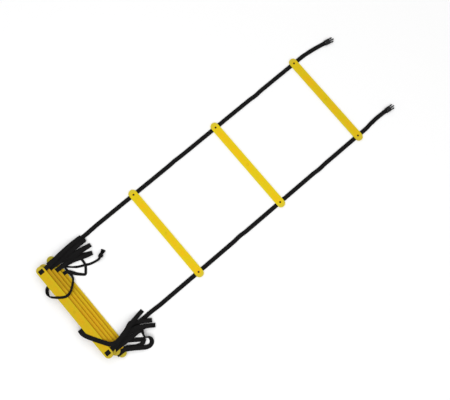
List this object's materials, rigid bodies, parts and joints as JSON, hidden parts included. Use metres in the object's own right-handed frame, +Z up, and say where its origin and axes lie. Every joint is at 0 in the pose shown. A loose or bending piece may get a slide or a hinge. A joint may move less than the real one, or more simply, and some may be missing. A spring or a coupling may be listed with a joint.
{
  "type": "agility ladder",
  "caption": "Speed-training ground ladder of flat round-ended slats on two webbing straps, part gathered in a tied pile, part laid out, with buckle plugs.",
  "frame": {"origin": "on the ground, in the middle of the box round the slats, the straight straps and the buckles; the loose loops and ties of the pile are left out of that box", "axes": "+X along the straps from the gathered pile towards the buckles, +Y across the ladder along the slats, towards the strap called left, +Z up from the ground"},
  "size_m": [1.4752, 0.495, 0.0298],
  "materials": {
    "rung_yellow": "moulded semi-gloss yellow plastic",
    "webbing_black": "matt woven polypropylene webbing",
    "buckle_black": "satin moulded black plastic"
  },
  "bodies": {
    "pile": {"piled_rung_1": "rung_yellow", "piled_rung_2": "rung_yellow", "piled_rung_3": "rung_yellow", "piled_rung_4": "rung_yellow", "piled_rung_5": "rung_yellow", "strap_left_pile_span": "webbing_black", "strap_right_pile_span": "webbing_black", "loop_left_1": "webbing_black", "loop_left_2": "webbing_black", "loop_left_3": "webbing_black", "loop_left_4": "webbing_black", "loop_right_1": "webbing_black", "loop_right_2": "webbing_black", "loop_right_3": "webbing_black", "loop_right_4": "webbing_black", "binding_strap": "webbing_black", "tie_tape": "webbing_black", "tie_knot": "webbing_black"},
    "span_1": {"strap_left_rung_1_span": "webbing_black", "strap_right_rung_1_span": "webbing_black"},
    "span_2": {"strap_left_rung_2_span": "webbing_black", "strap_right_rung_2_span": "webbing_black"},
    "span_3": {"strap_left_tail_span": "webbing_black", "strap_right_tail_span": "webbing_black", "buckle_left_body": "buckle_black", "buckle_right_body": "buckle_black"},
    "rung_1": {"rung_1": "rung_yellow"},
    "rung_2": {"rung_2": "rung_yellow"},
    "rung_3": {"rung_3": "rung_yellow"},
    "buckle_left_outer_arm": {"buckle_left_outer_arm": "buckle_black"},
    "buckle_left_inner_arm": {"buckle_left_inner_arm": "buckle_black"},
    "buckle_right_outer_arm": {"buckle_right_outer_arm": "buckle_black"},
    "buckle_right_inner_arm": {"buckle_right_inner_arm": "buckle_black"}
  },
  "joints": [
    {"name": "fold_1", "type": "hinge", "parent": "pile", "child": "span_1", "pos_m": [-0.46913, 0.019, 0.0172], "axis": [0, -1, 0], "range_deg": [0, 180]},
    {"name": "fold_2", "type": "hinge", "parent": "span_1", "child": "span_2", "pos_m": [-0.07413, 0.019, -0.0003], "axis": [0, 1, 0], "range_deg": [0, 180]},
    {"name": "fold_3", "type": "hinge", "parent": "span_2", "child": "span_3", "pos_m": [0.33087, 0.019, 0.0057], "axis": [0, -1, 0], "range_deg": [0, 180]},
    {"name": "rung_1_slide", "type": "slide", "parent": "span_1", "child": "rung_1", "axis": [1, 0, 0], "range_m": [-0.15, 0.15]},
    {"name": "rung_2_slide", "type": "slide", "parent": "span_2", "child": "rung_2", "axis": [1, 0, 0], "range_m": [-0.15, 0.15]},
    {"name": "rung_3_slide", "type": "slide", "parent": "span_3", "child": "rung_3", "axis": [1, 0, 0], "range_m": [-0.15, 0.03]},
    {"name": "left_outer_arm_squeeze", "type": "hinge", "parent": "span_3", "child": "buckle_left_outer_arm", "pos_m": [0.70704, 0.19437, 0.00335], "axis": [0, 0, -1], "range_deg": [0, 6], "stiffness_Nm_per_rad": 0.3},
    {"name": "left_inner_arm_squeeze", "type": "hinge", "parent": "span_3", "child": "buckle_left_inner_arm", "pos_m": [0.70389, 0.18074, 0.00335], "axis": [0, 0, 1], "range_deg": [0, 6], "stiffness_Nm_per_rad": 0.3},
    {"name": "right_outer_arm_squeeze", "type": "hinge", "parent": "span_3", "child": "buckle_right_outer_arm", "pos_m": [0.70631, -0.17726, 0.00335], "axis": [0, 0, 1], "range_deg": [0, 6], "stiffness_Nm_per_rad": 0.3},
    {"name": "right_inner_arm_squeeze", "type": "hinge", "parent": "span_3", "child": "buckle_right_inner_arm", "pos_m": [0.70777, -0.16334, 0.00335], "axis": [0, 0, -1], "range_deg": [0, 6], "stiffness_Nm_per_rad": 0.3}
  ],
  "couplings": [
    {"joint": "fold_2", "follows": "fold_1", "ratio": 1},
    {"joint": "fold_3", "follows": "fold_1", "ratio": 1},
    {"joint": "left_inner_arm_squeeze", "follows": "left_outer_arm_squeeze", "ratio": 1},
    {"joint": "right_inner_arm_squeeze", "follows": "right_outer_arm_squeeze", "ratio": 1}
  ]
}
